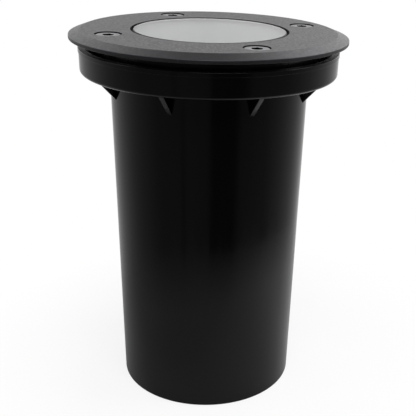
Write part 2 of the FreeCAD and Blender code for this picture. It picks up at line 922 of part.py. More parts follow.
def gland_dome_nut():
    thread_bore = gland_spigot_radius + gland_nut_clearance
    cone_foot_z = gland_nut_foot_z + gland_nut_dome
    seal_bore = gland_seal_radius + gland_seal_gap
    spigot_foot_z = gland_spigot_z - gland_spigot_length
    bore = turned([
        (0, gland_nut_foot_z - overrun),
        (gland_nut_mouth_radius, gland_nut_foot_z - overrun),
        (gland_nut_mouth_radius, cone_foot_z - gland_seal_gap),
        (gland_seal_radius - gland_seal_taper + gland_seal_gap, cone_foot_z - gland_seal_gap),
        (seal_bore, cone_foot_z + gland_seal_taper - gland_seal_gap),
        (seal_bore, spigot_foot_z - gland_seal_gap),
        (thread_bore, spigot_foot_z - gland_seal_gap),
        (thread_bore, gland_nut_top_z + overrun),
        (0, gland_nut_top_z + overrun),
    ])
    corner = gland_hex / math.sqrt(3)
    envelope = turned([
        (0, gland_nut_foot_z),
        (gland_nut_mouth_radius + gland_nut_dome / 2, gland_nut_foot_z),
        (corner, gland_nut_foot_z + gland_nut_dome),
        (corner, gland_nut_top_z - hex_chamfer),
        (gland_hex / 2, gland_nut_top_z),
        (0, gland_nut_top_z),
    ])
    return hexagon(gland_hex, gland_nut_foot_z, gland_nut_top_z).common(envelope).cut(bore)


def main():
    os.makedirs("parts", exist_ok=True)
    save("mounting_sleeve", [mounting_sleeve()])
    save("lamp_housing", [lamp_housing()])
    save("housing_base", [housing_base()])
    save("housing_flange", [housing_flange()])
    save("thread_inserts", thread_inserts())
    save("glass_gasket", [glass_gasket()])
    save("lampholder", [lampholder()])
    save("lampholder_cap", [lampholder_cap()])
    save("holder_strap", [holder_strap()])
    save("holder_screws", holder_screws())
    save("strap_screws", strap_screws())
    save("terminal_block", [terminal_block()])
    save("terminal_tubes", terminal_tubes())
    save("terminal_screws", terminal_screws())
    save("terminal_mount_screw", [terminal_mount_screw()])
    save("gland_body", [gland_body()])
    save("gland_washer", [gland_washer()])
    save("gland_locknut", [gland_locknut()])
    save("gland_seal", [gland_seal()])
    save("gland_dome_nut", [gland_dome_nut()])
    save("bezel_ring", [bezel_ring()])
    save("bezel_gasket", [bezel_gasket()])
    screws = ring_of(shifted(bezel_screw(), screw_circle_radius, 0, 0), screw_count)
    for number, screw in enumerate(screws, 1):
        save("bezel_screw_" + str(number), [screw])
    save("glass_lens", [glass_lens()])
    save("frosted_diffuser", [frosted_diffuser()])
    save("lamp_body", [lamp_body()])
    save("lamp_lens", [lamp_lens()])
    save("lamp_base", [lamp_base()])
    save("lamp_pins", lamp_pins())


main()
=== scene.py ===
"""Looks of the round in-ground light: its pieces' fine shapes, their finishes and a plain studio."""

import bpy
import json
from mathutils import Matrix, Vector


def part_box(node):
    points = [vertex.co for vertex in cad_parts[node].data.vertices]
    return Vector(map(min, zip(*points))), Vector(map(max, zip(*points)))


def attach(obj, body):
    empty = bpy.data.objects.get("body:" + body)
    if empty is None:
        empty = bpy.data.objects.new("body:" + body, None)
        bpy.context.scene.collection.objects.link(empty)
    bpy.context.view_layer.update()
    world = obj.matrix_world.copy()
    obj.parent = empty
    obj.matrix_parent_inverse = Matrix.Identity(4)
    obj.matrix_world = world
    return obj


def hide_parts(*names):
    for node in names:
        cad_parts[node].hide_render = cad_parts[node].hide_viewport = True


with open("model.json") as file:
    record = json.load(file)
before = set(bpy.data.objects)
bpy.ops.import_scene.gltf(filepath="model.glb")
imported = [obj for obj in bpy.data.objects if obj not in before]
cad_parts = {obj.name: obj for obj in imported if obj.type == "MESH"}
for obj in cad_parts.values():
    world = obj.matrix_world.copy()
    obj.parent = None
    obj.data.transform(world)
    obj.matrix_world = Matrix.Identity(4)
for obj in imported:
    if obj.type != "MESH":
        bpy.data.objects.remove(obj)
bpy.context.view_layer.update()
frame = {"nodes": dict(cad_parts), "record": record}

import json
import math

import bmesh
import bpy
from mathutils import Matrix, Vector

MM = 0.001
FULL_TURN = 2 * math.pi
ORIGIN = Vector((0, 0, 0))
BODIES = frame["record"]["behaviour"]["bodies"]
BODY_OF = {node: body for body, nodes in BODIES.items() for node in nodes}

# Camera, fitted to the photograph: lengths in millimetres, angles in degrees
IMAGE_PX = 416
SENSOR = 36.0
FOCAL_PX = 800.0
PICTURE_CENTRE_PX = (262.4, 208.0)
CAMERA_DISTANCE = 325.2
CAMERA_ELEVATION = 9.26
CAMERA_YAW = 4.15
CAMERA_PITCH = 21.40
CAMERA_ROLL = 2.14
AIM_BELOW_TOP = 1.95
CAMERA_TURN = -23.5
CLIP_NEAR = 10.0
CLIP_FAR = 20000.0


def aim_point():
    """Centre of the bezel's outer edge, which the camera was fitted to."""
    top_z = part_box("bezel_ring")[1].z
    return Vector((0, 0, top_z - AIM_BELOW_TOP * MM))


def add_camera():
    """Camera of the photograph. CAMERA_TURN takes it round the object's axis, the rest aims it."""
    elevation, yaw, pitch, roll = (
        math.radians(angle) for angle in (CAMERA_ELEVATION, CAMERA_YAW, CAMERA_PITCH, CAMERA_ROLL)
    )
    distance = CAMERA_DISTANCE * MM
    place = Vector((0, -distance * math.cos(elevation), distance * math.sin(elevation)))
    ahead = Vector((math.sin(yaw) * math.cos(pitch), math.cos(yaw) * math.cos(pitch), -math.sin(pitch)))
    level = Vector((math.cos(yaw), -math.sin(yaw), 0))
    upward = level.cross(ahead)
    right = math.cos(roll) * level + math.sin(roll) * upward
    up = -math.sin(roll) * level + math.cos(roll) * upward
    axes = Matrix((right, up, -ahead)).transposed().to_4x4()
    turn = Matrix.Rotation(math.radians(CAMERA_TURN), 4, "Z")
    camera = bpy.data.objects.new("camera", bpy.data.cameras.new("camera"))
    bpy.context.scene.collection.objects.link(camera)
    camera.matrix_world = Matrix.Translation(aim_point()) @ turn @ Matrix.Translation(place) @ axes
    camera.data.sensor_width = SENSOR
    camera.data.lens = FOCAL_PX * SENSOR / IMAGE_PX
    camera.data.shift_x = (IMAGE_PX / 2 - PICTURE_CENTRE_PX[0]) / IMAGE_PX
    camera.data.shift_y = (PICTURE_CENTRE_PX[1] - IMAGE_PX / 2) / IMAGE_PX
    camera.data.clip_start = CLIP_NEAR * MM
    camera.data.clip_end = CLIP_FAR * MM
    bpy.context.scene.camera = camera


# Finishes. Most values of a noise texture lie between the two limits
NOISE_LOW = 0.3
NOISE_HIGH = 0.7
GLASS_IOR = 1.5


class Shader:
    """A node material on one Principled shader, built a step at a time."""

    def __init__(self, name, colour, roughness, metallic=0.0, specular=0.5):
        self.material = bpy.data.materials.new(name)
        self.material.use_nodes = True
        self.tree = self.material.node_tree
        self.base = self.tree.nodes["Principled BSDF"]
        self.base.inputs["Base Color"].default_value = (*colour, 1)
        self.base.inputs["Roughness"].default_value = roughness
        self.base.inputs["Metallic"].default_value = metallic
        self.base.inputs["Specular IOR Level"].default_value = specular

    def node(self, kind, **values):
        """A new node whose sockets and settings have the given values."""
        made = self.tree.nodes.new(kind)
        for name, value in values.items():
            if name in made.inputs:
                made.inputs[name].default_value = value
            else:
                setattr(made, name, value)
        return made

    def link(self, source, target):
        self.tree.links.new(source, target)

    def maths(self, operation, *sources):
        """Result of an operation on sockets and numbers."""
        made = self.node("ShaderNodeMath", operation=operation)
        for socket, source in zip(made.inputs, sources):
            if isinstance(source, bpy.types.NodeSocket):
                self.link(source, socket)
            else:
                socket.default_value = source
        return made.outputs[0]

    def place(self, stretch=(1, 1, 1)):
        """The point on the piece, in metres, stretched along the axes."""
        spot = self.node("ShaderNodeTexCoord")
        if stretch == (1, 1, 1):
            return spot.outputs["Object"]
        mapping = self.node("ShaderNodeMapping", Scale=stretch)
        self.link(spot.outputs["Object"], mapping.inputs["Vector"])
        return mapping.outputs["Vector"]

    def noise(self, grain, detail=2.0, stretch=(1, 1, 1)):
        """Noise whose patches measure about grain metres."""
        noise = self.node("ShaderNodeTexNoise", Scale=1 / grain, Detail=detail)
        self.link(self.place(stretch), noise.inputs["Vector"])
        return noise.outputs["Fac"]

    def spread(self, source, low, high, start=NOISE_LOW, end=NOISE_HIGH):
        """A value that runs from low to high as its source runs from start to end."""
        ramp = self.node("ShaderNodeMapRange")
        ramp.inputs["From Min"].default_value = start
        ramp.inputs["From Max"].default_value = end
        ramp.inputs["To Min"].default_value = low
        ramp.inputs["To Max"].default_value = high
        self.link(source, ramp.inputs["Value"])
        return ramp.outputs["Result"]

    def vary_colour(self, noise, low, high):
        ramp = self.node("ShaderNodeValToRGB")
        ramp.color_ramp.elements[0].position = NOISE_LOW
        ramp.color_ramp.elements[0].color = (*low, 1)
        ramp.color_ramp.elements[1].position = NOISE_HIGH
        ramp.color_ramp.elements[1].color = (*high, 1)
        self.link(noise, ramp.inputs["Fac"])
        self.link(ramp.outputs["Color"], self.base.inputs["Base Color"])

    def vary_roughness(self, noise, low, high):
        self.link(self.spread(noise, low, high), self.base.inputs["Roughness"])

    def bump(self, source, height, strength):
        """Relief of the given height in metres, on top of any earlier one."""
        bump = self.node("ShaderNodeBump", Strength=strength, Distance=height)
        self.link(source, bump.inputs["Height"])
        normal = self.base.inputs["Normal"]
        if normal.links:
            self.link(normal.links[0].from_socket, bump.inputs["Normal"])
        self.link(bump.outputs["Normal"], normal)


def powder_coat():
    """Fine-grained black coat of the bezel."""
    shader = Shader("powder_coat", (0.011, 0.0112, 0.012), roughness=0.4, specular=0.55)
    shader.base.inputs["Specular Tint"].default_value = (0.93, 0.92, 1.0, 1)
    grain = shader.noise(grain=0.42 * MM, detail=3)
    shader.vary_colour(grain, low=(0.004, 0.004, 0.0045), high=(0.02, 0.0202, 0.021))
    shader.vary_roughness(shader.noise(grain=0.8 * MM), low=0.30, high=0.46)
    shader.bump(grain, height=0.03 * MM, strength=0.8)
    return shader.material


def recess_coat():
    """Powder coat of the screws' recesses, painted near black and dull: painted shade."""
    shader = Shader("recess_coat", (0.002, 0.002, 0.0022), roughness=0.6, specular=0.05)
    shader.bump(shader.noise(grain=0.45 * MM, detail=3), height=0.03 * MM, strength=0.4)
    return shader.material


def gloss_plastic():
    """Glossy plastic of the sleeve, a little wavy and faintly streaked upwards."""
    shader = Shader("gloss_plastic", (0.0014, 0.0014, 0.0018), roughness=0.12, specular=0.4)
    shader.vary_roughness(shader.noise(grain=4 * MM, stretch=(1, 1, 0.1)), low=0.09, high=0.18)
    shader.bump(shader.noise(grain=30 * MM, detail=1), height=0.10 * MM, strength=0.3)
    shader.bump(shader.noise(grain=3 * MM, stretch=(1, 1, 0.04)), height=0.02 * MM, strength=0.3)
    return shader.material


def satin_plastic():
    shader = Shader("satin_plastic", (0.004, 0.004, 0.0044), roughness=0.22, specular=0.3)
    shader.vary_roughness(shader.noise(grain=4 * MM), low=0.18, high=0.3)
    return shader.material


def nylon():
    shader = Shader("gland_nylon", (0.02, 0.02, 0.021), roughness=0.45)
    shader.bump(shader.noise(grain=0.4 * MM), height=0.02 * MM, strength=0.4)
    return shader.material


def rubber():
    shader = Shader("rubber", (0.004, 0.004, 0.004), roughness=0.8, specular=0.03)
    shader.bump(shader.noise(grain=0.3 * MM), height=0.02 * MM, strength=0.4)
    return shader.material


def steel(name, colour, roughness):
    """Metal, also brass, with faint patches of another gloss."""
    shader = Shader(name, colour, roughness, metallic=1.0)
    shader.vary_roughness(shader.noise(grain=0.8 * MM), low=roughness * 0.8, high=roughness * 1.25)
    shader.bump(shader.noise(grain=0.2 * MM), height=0.005 * MM, strength=0.3)
    return shader.material


def ceramic():
    shader = Shader("ceramic", (0.78, 0.75, 0.70), roughness=0.3)
    shader.vary_colour(shader.noise(grain=3 * MM), low=(0.75, 0.72, 0.66), high=(0.80, 0.78, 0.73))
    return shader.material


def natural_nylon():
    shader = Shader("natural_nylon", (0.72, 0.70, 0.62), roughness=0.4)
    shader.vary_colour(shader.noise(grain=3 * MM), low=(0.69, 0.67, 0.58), high=(0.74, 0.72, 0.65))
    return shader.material


def glass(name, colour, roughness, transmission):
    """Shader of glass that lets the given share of light through."""
    shader = Shader(name, colour, roughness)
    shader.base.inputs["Transmission Weight"].default_value = transmission
    shader.base.inputs["IOR"].default_value = GLASS_IOR
    return shader


def polished_glass():
    return glass("polished_glass", (0.95, 0.97, 0.96), roughness=0.015, transmission=1.0).material


def ground_glass():
    """Side walls of the glass, ground and a little grey."""
    shader = glass("ground_glass", (0.36, 0.37, 0.37), roughness=0.4, transmission=0.6)
    shader.bump(shader.noise(grain=0.3 * MM), height=0.01 * MM, strength=0.4)
    return shader.material


def chamfer_painted_shade():
    """Chamfer of the glass, ground, painted dark and dull: painted shade of the gap and of the black gasket
    behind it.
    """
    shader = Shader("chamfer_painted_shade", (0.04, 0.042, 0.042), roughness=0.5, specular=0.25)
    shader.bump(shader.noise(grain=0.3 * MM), height=0.01 * MM, strength=0.4)
    return shader.material


def etched_glass():
    """Underside of the glass, etched white so that the lamp behind it doesn't show."""
    shader = glass("etched_glass", (0.42, 0.43, 0.43), roughness=0.6, transmission=0.25)
    patches = shader.noise(grain=6 * MM)
    shader.vary_colour(patches, low=(0.415, 0.425, 0.425), high=(0.425, 0.435, 0.435))
    return shader.material


def frosted_plastic():
    shader = Shader("frosted_plastic", (0.52, 0.53, 0.53), roughness=0.5)
    shader.bump(shader.noise(grain=0.3 * MM), height=0.01 * MM, strength=0.3)
    return shader.material


def lamp_coat():
    shader = Shader("lamp_coat", (0.70, 0.70, 0.69), roughness=0.4)
    shader.bump(shader.noise(grain=0.4 * MM), height=0.02 * MM, strength=0.3)
    return shader.material


def opal():
    shader = Shader("opal", (0.80, 0.80, 0.78), roughness=0.35)
    shader.bump(shader.noise(grain=0.4 * MM), height=0.01 * MM, strength=0.3)
    return shader.material


def socket_painted_shade():
    """Inside of the screws' sockets, painted near black and dull: painted shade."""
    shader = Shader("socket_painted_shade", (0.002, 0.002, 0.0025), roughness=0.6, specular=0.03)
    shader.vary_roughness(shader.noise(grain=0.4 * MM), low=0.5, high=0.7)
    return shader.material


def finishes_by_slot():
    """Material of each slot in the record, then those that only fine pieces have."""
    return {
        "sleeve_plastic": gloss_plastic(),
        "housing_plastic": satin_plastic(),
        "brass": steel("brass", (0.75, 0.55, 0.25), roughness=0.3),
        "black_rubber": rubber(),
        "ceramic": ceramic(),
        "zinc_steel": steel("zinc_steel", (0.62, 0.62, 0.64), roughness=0.32),
        "terminal_plastic": natural_nylon(),
        "gland_plastic": nylon(),
        "bezel_coat": powder_coat(),
        "screw_steel": steel("screw_steel", (0.28, 0.28, 0.29), roughness=0.34),
        "clear_glass": polished_glass(),
        "frosted": frosted_plastic(),
        "lamp_metal": lamp_coat(),
        "lamp_lens": opal(),
        "pin_metal": steel("pin_metal", (0.66, 0.65, 0.62), roughness=0.22),
        "ground_glass": ground_glass(),
        "chamfer_painted_shade": chamfer_painted_shade(),
        "etched_glass": etched_glass(),
        "socket_painted_shade": socket_painted_shade(),
        "recess_coat": recess_coat(),
    }


def dress(nodes, finishes):
    """Gives each solid the finish of its slot."""
    for part in frame["record"]["subparts"]:
        node = nodes[part["node"]]
        node.data.materials.clear()
        node.data.materials.append(finishes[part["material_slot"]])


# How finely the fine pieces are meshed and cut. Margins and other lengths are in millimetres
SHARP_ANGLE = math.radians(32)
ARC_STEPS = 6
LATHE_CORNERS = 240
DRAIN_CORNERS = 48
RECESS_CORNERS = 96
SCREW_CORNERS = 72
THREAD_RINGS = 8
WEB_ROUNDING_STEPS = 3
ROUND_PROFILE = 0.5
LARGEST_HOLE_SIDES = 4
LARGE_FACE_WEIGHT = 100
POLE_RADIUS = 0.001
WELD = 0.002
CUT_PAST = 2.0
RECESS_CUT_PAST = 1.0
FOOT_MARGIN = 0.1
RECESS_TOP_MARGIN = 0.05
GLASS_TOP_MARGIN = 0.01
SOCKET_MARGIN = 1.0

# Mounting sleeve, in millimetres
TUBE_FOOT = 36.8
TUBE_TOP = 39.7
SLEEVE_WALL = 2.2
FLOOR_THICKNESS = 2.5
FOOT_ROUNDING = 0.4
COLLAR_FOOT = 134.5
COLLAR_RADIUS = 51.25
COLLAR_WALL = 2.3
COLLAR_ROUNDING = 1.5
SHELF_THICKNESS = 2.5
BEAD_HEIGHT = 1.7
BEAD_WIDTH = 0.25
EDGE_SOFTENING = 0.15
INNER_ROUNDING = 0.3
WEB_COUNT = 8
WEB_THICKNESS = 2.0
WEB_DROP = 8.8
WEB_REACH = 47.6
WEB_SEAT = 1.2
WEB_ROUNDING = 0.25
CABLE_HOLE_RADIUS = 16.0
DRAIN_COUNT = 6
DRAIN_RADIUS = 3.0
DRAIN_CIRCLE = 26.0
NOTCH_WIDTH = 20.0
NOTCH_HEIGHT = 24.0
NOTCH_DEPTH = 6.3

# Bezel ring, in millimetres
OPENING_RADIUS = 31.35
OPENING_ROUNDING = 0.15
BEVEL_DROP = 1.7
BEVEL_WIDTH = 4.5
BEVEL_ROUNDING = 0.5
EDGE_ROUNDING = 0.25
UNDERCUT_WIDTH = 1.2
UNDERCUT_HEIGHT = 0.35
RECESS_RADIUS = 5.15
RECESS_CHAMFER = 0.05
SCREW_HOLE_RADIUS = 2.7
SEAT_DEPTH = 1.85

# Bezel screws, in millimetres
SCREW_COUNT = 4
HEAD_SINK = 0.3
HEAD_ROUNDING = 0.35
SOCKET_SIDES = 6
SOCKET_ACROSS_FLATS = 4.0
SOCKET_DEPTH = 1.4
SOCKET_CHAMFER = 0.08
SOCKET_POINT = 0.3
SOCKET_LAND = 0.05
THREAD_RADIUS = 2.4
THREAD_PITCH = 0.8
THREAD_DEPTH = 0.42
THREAD_RUNOUT = 1.0
THREAD_FLANK_SHARE = 0.4
TIP_CHAMFER = 0.5

# Glass and the gasket round it, in millimetres
GLASS_RADIUS = 30.6
GLASS_RAISE = 4.8
GLASS_CHAMFER = 0.6
GASKET_GLASS_GAP = 0.1
GASKET_OPENING_GAP = 0.06
GASKET_SINK = 0.05
GASKET_FLAT = 1.6
GASKET_WIDTH = 4.8
GASKET_ROUNDING = 0.2


def rounded(corners):
    """Outline in metres through (radius, z) or (radius, z, rounding) corners in millimetres."""
    points = []
    for index, corner in enumerate(corners):
        here = Vector(corner[:2]) * MM
        if len(corner) < 3:
            points.append(here)
            continue
        back = (Vector(corners[index - 1][:2]) * MM - here).normalized()
        ahead = (Vector(corners[(index + 1) % len(corners)][:2]) * MM - here).normalized()
        half = back.angle(ahead) / 2
        rounding = corner[2] * MM
        centre = here + (back + ahead).normalized() * (rounding / math.sin(half))
        start = here + back * (rounding / math.tan(half)) - centre
        end = here + ahead * (rounding / math.tan(half)) - centre
        sweep = start.angle(end)
        for step in range(ARC_STEPS + 1):
            turn = sweep * step / ARC_STEPS
            spoke = (start * math.sin(sweep - turn) + end * math.sin(turn)) / math.sin(sweep)
            points.append(centre + spoke)
    return points


def ring(radius_at, z, corners, centre):
    """Points round an upright axis. radius_at gives the radius at an angle."""
    points = []
    for corner in range(corners):
        angle = FULL_TURN * corner / corners
        radius = radius_at(angle)
        points.append(Vector((centre.x + radius * math.cos(angle), centre.y + radius * math.sin(angle), z)))
    return points


def circle(radius, z, corners=LATHE_CORNERS, centre=ORIGIN):
    """Points of a circle about an upright axis, or the one point of a pole."""
    if radius < POLE_RADIUS * MM:
        return [Vector((centre.x, centre.y, z))]
    return ring(lambda angle: radius, z, corners, centre)


def object_of(name, build):
    """Object in the scene with the mesh that was built."""
    mesh = bpy.data.meshes.new(name)
    build.to_mesh(mesh)
    build.free()
    piece = bpy.data.objects.new(name, mesh)
    bpy.context.scene.collection.objects.link(piece)
    return piece


def joined(name, rings, closed=False):
    """Object whose surface runs through rings of points. A ring of one point is a pole."""
    build = bmesh.new()
    made = [[build.verts.new(point) for point in points] for points in rings]
    pairs = list(zip(made, made[1:]))
    if closed:
        pairs.append((made[-1], made[0]))
    for lower, upper in pairs:
        for side in range(max(len(lower), len(upper))):
            following = side + 1
            corners = (
                lower[side % len(lower)], lower[following % len(lower)],
                upper[following % len(upper)], upper[side % len(upper)],
            )
            build.faces.new(tuple(dict.fromkeys(corners)))
    bmesh.ops.recalc_face_normals(build, faces=build.faces)
    return object_of(name, build)


def lathe(name, outline, corners=LATHE_CORNERS, centre=ORIGIN, closed=True):
    """Body of revolution about an upright axis, from outline points (radius, z)."""
    return joined(name, [circle(radius, z, corners, centre) for radius, z in outline], closed)


def box_between(name, low, high):
    """Upright box with corners at low and high, in millimetres."""
    build = bmesh.new()
    size = Vector(high) - Vector(low)
    place = Matrix.Translation((Vector(low) + size / 2) * MM) @ Matrix.Diagonal((*(size * MM), 1))
    bmesh.ops.create_cube(build, size=1, matrix=place)
    return object_of(name, build)


def combined(piece, tools, operation):
    """Adds the tools to the piece's mesh or cuts them out of it.

    Points that nearly coincide are then welded, and the tiny holes of the cuts are closed.
    """
    for tool in tools:
        step = piece.modifiers.new(tool.name, "BOOLEAN")
        step.operation = operation
        step.solver = "EXACT"
        step.object = tool
    graph = bpy.context.evaluated_depsgraph_get()
    mesh = bpy.data.meshes.new_from_object(piece.evaluated_get(graph))
    piece.modifiers.clear()
    build = bmesh.new()
    build.from_mesh(mesh)
    bmesh.ops.remove_doubles(build, verts=build.verts, dist=WELD * MM)
    bmesh.ops.dissolve_degenerate(build, edges=build.edges, dist=WELD * MM)
    rims = [edge for edge in build.edges if edge.is_boundary]
    bmesh.ops.holes_fill(build, edges=rims, sides=LARGEST_HOLE_SIDES)
    build.to_mesh(mesh)
    build.free()
    piece.data = mesh
    for tool in tools:
        bpy.data.objects.remove(tool)


def smooth(piece):
    """Smooth shading, with sharp edges where faces meet at more than SHARP_ANGLE."""
    piece.data.shade_smooth()
    piece.data.set_sharp_from_angle(angle=SHARP_ANGLE)


def even_shading(piece):
    """Lets large faces set the shading at their edges, so that flats look flat."""
    weighted = piece.modifiers.new("even_shading", "WEIGHTED_NORMAL")
    weighted.keep_sharp = True
    weighted.weight = LARGE_FACE_WEIGHT


def finish(piece, finishes, names):
    """Gives the piece its finishes. All its faces start with the first one."""
    for name in names:
        piece.data.materials.append(finishes[name])


def stand_in(piece, node):
    """The piece shows in place of a solid and moves with the solid's body."""
    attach(piece, BODY_OF[node])
    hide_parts(node)


def tube_radius(z):
    """Outer radius of the tapered tube at a height, both in millimetres."""
    return TUBE_FOOT + (TUBE_TOP - TUBE_FOOT) * z / COLLAR_FOOT


def sleeve_web(angle):
    """Triangular web under the collar, with soft edges on its slope."""
    foot = COLLAR_FOOT - WEB_DROP
    root = tube_radius(foot)
    outline = [
        (root - SLEEVE_WALL / 2, foot),
        (root, foot),
        (WEB_REACH, COLLAR_FOOT),
        (WEB_REACH - WEB_SEAT, COLLAR_FOOT + WEB_SEAT),
        (root - SLEEVE_WALL / 2, COLLAR_FOOT + WEB_SEAT),
    ]
    build = bmesh.new()
    sides = []
    for across in (-WEB_THICKNESS / 2, WEB_THICKNESS / 2):
        sides.append([build.verts.new(Vector((radius, across, z)) * MM) for radius, z in outline])
    build.faces.new(sides[0])
    build.faces.new(reversed(sides[1]))
    for corner in range(len(outline)):
        build.faces.new((sides[0][corner - 1], sides[1][corner - 1], sides[1][corner], sides[0][corner]))
    bmesh.ops.recalc_face_normals(build, faces=build.faces)
    slopes = [set(side[1:3]) for side in sides]
    bmesh.ops.bevel(
        build,
        geom=[edge for edge in build.edges if set(edge.verts) in slopes],
        offset=WEB_ROUNDING * MM,
        segments=WEB_ROUNDING_STEPS,
        profile=ROUND_PROFILE,
        affect="EDGES",
    )
    bmesh.ops.rotate(build, verts=build.verts, matrix=Matrix.Rotation(angle, 3, "Z"))
    return object_of("web", build)


def drain_cutters():
    """Plugs that cut the drain holes through the sleeve's floor."""
    outline = rounded([
        (0, -CUT_PAST),
        (DRAIN_RADIUS, -CUT_PAST),
        (DRAIN_RADIUS, FLOOR_THICKNESS + CUT_PAST),
        (0, FLOOR_THICKNESS + CUT_PAST),
    ])
    cutters = []
    for number in range(DRAIN_COUNT):
        turn = FULL_TURN * number / DRAIN_COUNT
        place = Vector((math.cos(turn), math.sin(turn), 0)) * DRAIN_CIRCLE * MM
        cutters.append(lathe("drain", outline, DRAIN_CORNERS, place, closed=False))
    return cutters


def notch_cutters():
    """Lying plug and box that cut the arched cable notch at the tube's foot."""
    half = NOTCH_WIDTH / 2
    near = tube_radius(0) - NOTCH_DEPTH
    length = NOTCH_DEPTH + CUT_PAST
    arch_foot = NOTCH_HEIGHT - half
    arch = lathe("notch_arch", rounded([(0, 0), (half, 0), (half, length), (0, length)]), closed=False)
    lie_down = Matrix.Rotation(-math.pi / 2, 4, "X")
    arch.data.transform(Matrix.Translation(Vector((0, near, arch_foot)) * MM) @ lie_down)
    gap = box_between("notch_gap", (-half, near, -CUT_PAST), (half, near + length, arch_foot))
    return [arch, gap]


def mounting_sleeve(finishes):
    """Collar, webs and tapered tube in one moulding, with drain holes and a cable notch."""
    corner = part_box("mounting_sleeve")[1]
    top, rim = corner.z / MM, corner.x / MM
    bead_foot = top - BEAD_HEIGHT
    shelf = COLLAR_FOOT + SHELF_THICKNESS
    piece = lathe("mounting_sleeve_fine", rounded([
        (CABLE_HOLE_RADIUS, 0, EDGE_SOFTENING),
        (TUBE_FOOT, 0, FOOT_ROUNDING),
        (TUBE_TOP, COLLAR_FOOT, INNER_ROUNDING),
        (COLLAR_RADIUS, COLLAR_FOOT, COLLAR_ROUNDING),
        (rim - BEAD_WIDTH, bead_foot),
        (rim, bead_foot, EDGE_SOFTENING),
        (rim, top, EDGE_SOFTENING),
        (rim - BEAD_WIDTH - COLLAR_WALL, top, EDGE_SOFTENING),
        (COLLAR_RADIUS - COLLAR_WALL, shelf, INNER_ROUNDING),
        (tube_radius(COLLAR_FOOT) - SLEEVE_WALL, shelf, INNER_ROUNDING),
        (tube_radius(FLOOR_THICKNESS) - SLEEVE_WALL, FLOOR_THICKNESS, INNER_ROUNDING),
        (CABLE_HOLE_RADIUS, FLOOR_THICKNESS, EDGE_SOFTENING),
    ]))
    webs = [sleeve_web(FULL_TURN * number / WEB_COUNT) for number in range(WEB_COUNT)]
    combined(piece, webs, "UNION")
    combined(piece, drain_cutters() + notch_cutters(), "DIFFERENCE")
    smooth(piece)
    even_shading(piece)
    finish(piece, finishes, ["sleeve_plastic"])
    stand_in(piece, "mounting_sleeve")


def recess_cutters(places, foot, top):
    """Plugs that cut a hole and a recess for each bezel screw."""
    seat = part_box("bezel_screw_1")[1].z / MM - SEAT_DEPTH
    outline = rounded([
        (0, foot - RECESS_CUT_PAST),
        (SCREW_HOLE_RADIUS, foot - RECESS_CUT_PAST),
        (SCREW_HOLE_RADIUS, seat),
        (RECESS_RADIUS, seat),
        (RECESS_RADIUS, top - RECESS_CHAMFER),
        (RECESS_RADIUS + 2 * RECESS_CHAMFER, top + RECESS_CHAMFER),
        (0, top + RECESS_CHAMFER),
    ])
    cutters = []
    for number, place in enumerate(places, 1):
        cutters.append(lathe("recess_%d" % number, outline, RECESS_CORNERS, place, closed=False))
    return cutters


def bezel_ring(places, finishes):
    """Bevelled ring with soft edges and a recess at each screw's place."""
    low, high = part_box("bezel_ring")
    foot, top, radius = low.z / MM, high.z / MM, high.x / MM
    piece = lathe("bezel_ring_fine", rounded([
        (OPENING_RADIUS, foot, OPENING_ROUNDING),
        (radius - UNDERCUT_WIDTH, foot),
        (radius, foot + UNDERCUT_HEIGHT, EDGE_ROUNDING),
        (radius, top - BEVEL_DROP, EDGE_ROUNDING),
        (radius - BEVEL_WIDTH, top, BEVEL_ROUNDING),
        (OPENING_RADIUS, top, OPENING_ROUNDING),
    ]))
    combined(piece, recess_cutters(places, foot, top), "DIFFERENCE")
    smooth(piece)
    even_shading(piece)
    names = ["bezel_coat", "recess_coat"]
    finish(piece, finishes, names)
    # Faces inside each recess, between the ring's foot and its top, get the painted shade
    lowest = low.z + FOOT_MARGIN * MM
    highest = high.z - RECESS_TOP_MARGIN * MM
    for face in piece.data.polygons:
        reach = min((face.center.xy - place.xy).length for place in places)
        if reach < (RECESS_RADIUS + RECESS_CHAMFER / 2) * MM and lowest < face.center.z < highest:
            face.material_index = names.index("recess_coat")
    stand_in(piece, "bezel_ring")


def screw_places():
    """Point on the axis of each bezel screw, at height 0."""
    places = []
    for number in range(1, SCREW_COUNT + 1):
        low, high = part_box("bezel_screw_%d" % number)
        places.append(Vector(((low.x + high.x) / 2, (low.y + high.y) / 2, 0)))
    return places


def socket_radius(angle):
    """Radius of the hexagon socket, which has a corner at angle 0."""
    side = FULL_TURN / SOCKET_SIDES
    return SOCKET_ACROSS_FLATS * MM / 2 / math.cos(angle % side - side / 2)


def threaded_ring(depth, z, place, crest):
    """Ring on the screw thread, whose groove is cut from the crest's radius by up to depth."""
    def radius_at(angle):
        phase = (z / (THREAD_PITCH * MM) + angle / FULL_TURN) % 1.0
        from_root = 0.5 - abs(phase - 0.5)
        ridge = min(from_root / THREAD_FLANK_SHARE, 1.0)
        return crest - depth * (1 - ridge)
    return ring(radius_at, z, SCREW_CORNERS, place)


def thread(foot, top, place, crest):
    """Rings of a thread between two levels, which fades out at its top."""
    rings = []
    count = round((top - foot) / (THREAD_PITCH * MM) * THREAD_RINGS)
    for step in range(count + 1):
        z = foot + (top - foot) * step / count
        fade = min((top - z) / (THREAD_RUNOUT * MM), 1.0)
        rings.append(threaded_ring(THREAD_DEPTH * MM * fade, z, place, crest))
    return rings


def socket_rings(top, place):
    """Rings of the socket from its point up to the flat round its mouth."""
    flat = SOCKET_ACROSS_FLATS * MM / 2
    corner = socket_radius(0)
    mouth = []
    for point in ring(socket_radius, top, SCREW_CORNERS, place):
        reach = (point.xy - place.xy).length
        point.z = top - SOCKET_CHAMFER * MM * (corner - reach) / (corner - flat)
        mouth.append(point)
    return [
        circle(0, top - (SOCKET_DEPTH + SOCKET_POINT) * MM, SCREW_CORNERS, place),
        ring(socket_radius, top - SOCKET_DEPTH * MM, SCREW_CORNERS, place),
        mouth,
        circle(corner + SOCKET_LAND * MM, top, SCREW_CORNERS, place),
    ]


